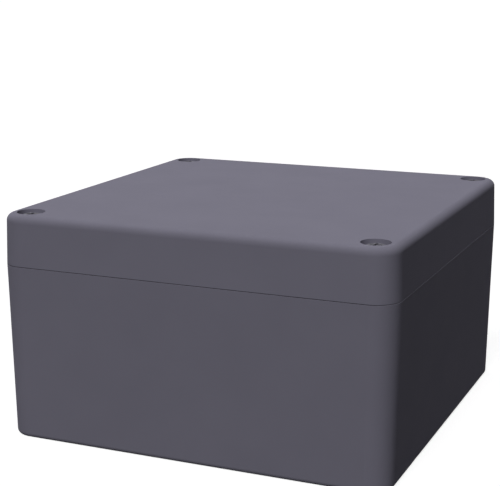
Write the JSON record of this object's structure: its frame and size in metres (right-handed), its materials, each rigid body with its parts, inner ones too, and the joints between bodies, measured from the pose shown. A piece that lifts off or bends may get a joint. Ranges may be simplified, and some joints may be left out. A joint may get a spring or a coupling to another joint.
{
  "type": "die cast aluminium box",
  "caption": "Square die cast aluminium enclosure with a screwed lid, corner mounting wells, a sealing rim and a bare circuit board inside.",
  "frame": {"origin": "middle of the box's underside, the face that goes against the wall or bench", "axes": "+Z from the underside to the lid, +X and +Y along the two sides; the four wall screws are 140 mm apart along X and 110 mm along Y"},
  "size_m": [0.16, 0.16, 0.09],
  "materials": {
    "casting": "matt die cast, dark grey",
    "gasket": "matt",
    "board": "satin green solder mask",
    "screw": "dark satin"
  },
  "bodies": {
    "base": {"base": "casting"},
    "lid": {"lid": "casting", "gasket": "gasket"},
    "board": {"circuit_board": "board"},
    "screw_front_left": {"lid_screw_front_left": "screw"},
    "screw_front_right": {"lid_screw_front_right": "screw"},
    "screw_back_left": {"lid_screw_back_left": "screw"},
    "screw_back_right": {"lid_screw_back_right": "screw"}
  },
  "joints": [
    {"name": "lid_lift", "type": "slide", "parent": "base", "child": "lid", "axis": [0, 0, 1], "range_m": [0, 0.0576]},
    {"name": "board_lift", "type": "slide", "parent": "base", "child": "board", "axis": [0, 0, 1], "range_m": [0, 0.0794]},
    {"name": "screw_front_left_out", "type": "slide", "parent": "lid", "child": "screw_front_left", "axis": [0, 0, 1], "range_m": [0, 0.019]},
    {"name": "screw_front_right_out", "type": "slide", "parent": "lid", "child": "screw_front_right", "axis": [0, 0, 1], "range_m": [0, 0.019]},
    {"name": "screw_back_left_out", "type": "slide", "parent": "lid", "child": "screw_back_left", "axis": [0, 0, 1], "range_m": [0, 0.019]},
    {"name": "screw_back_right_out", "type": "slide", "parent": "lid", "child": "screw_back_right", "axis": [0, 0, 1], "range_m": [0, 0.019]}
  ],
  "couplings": [
    {"joint": "board_lift", "follows": "lid_lift", "ratio": 1.378}
  ]
}
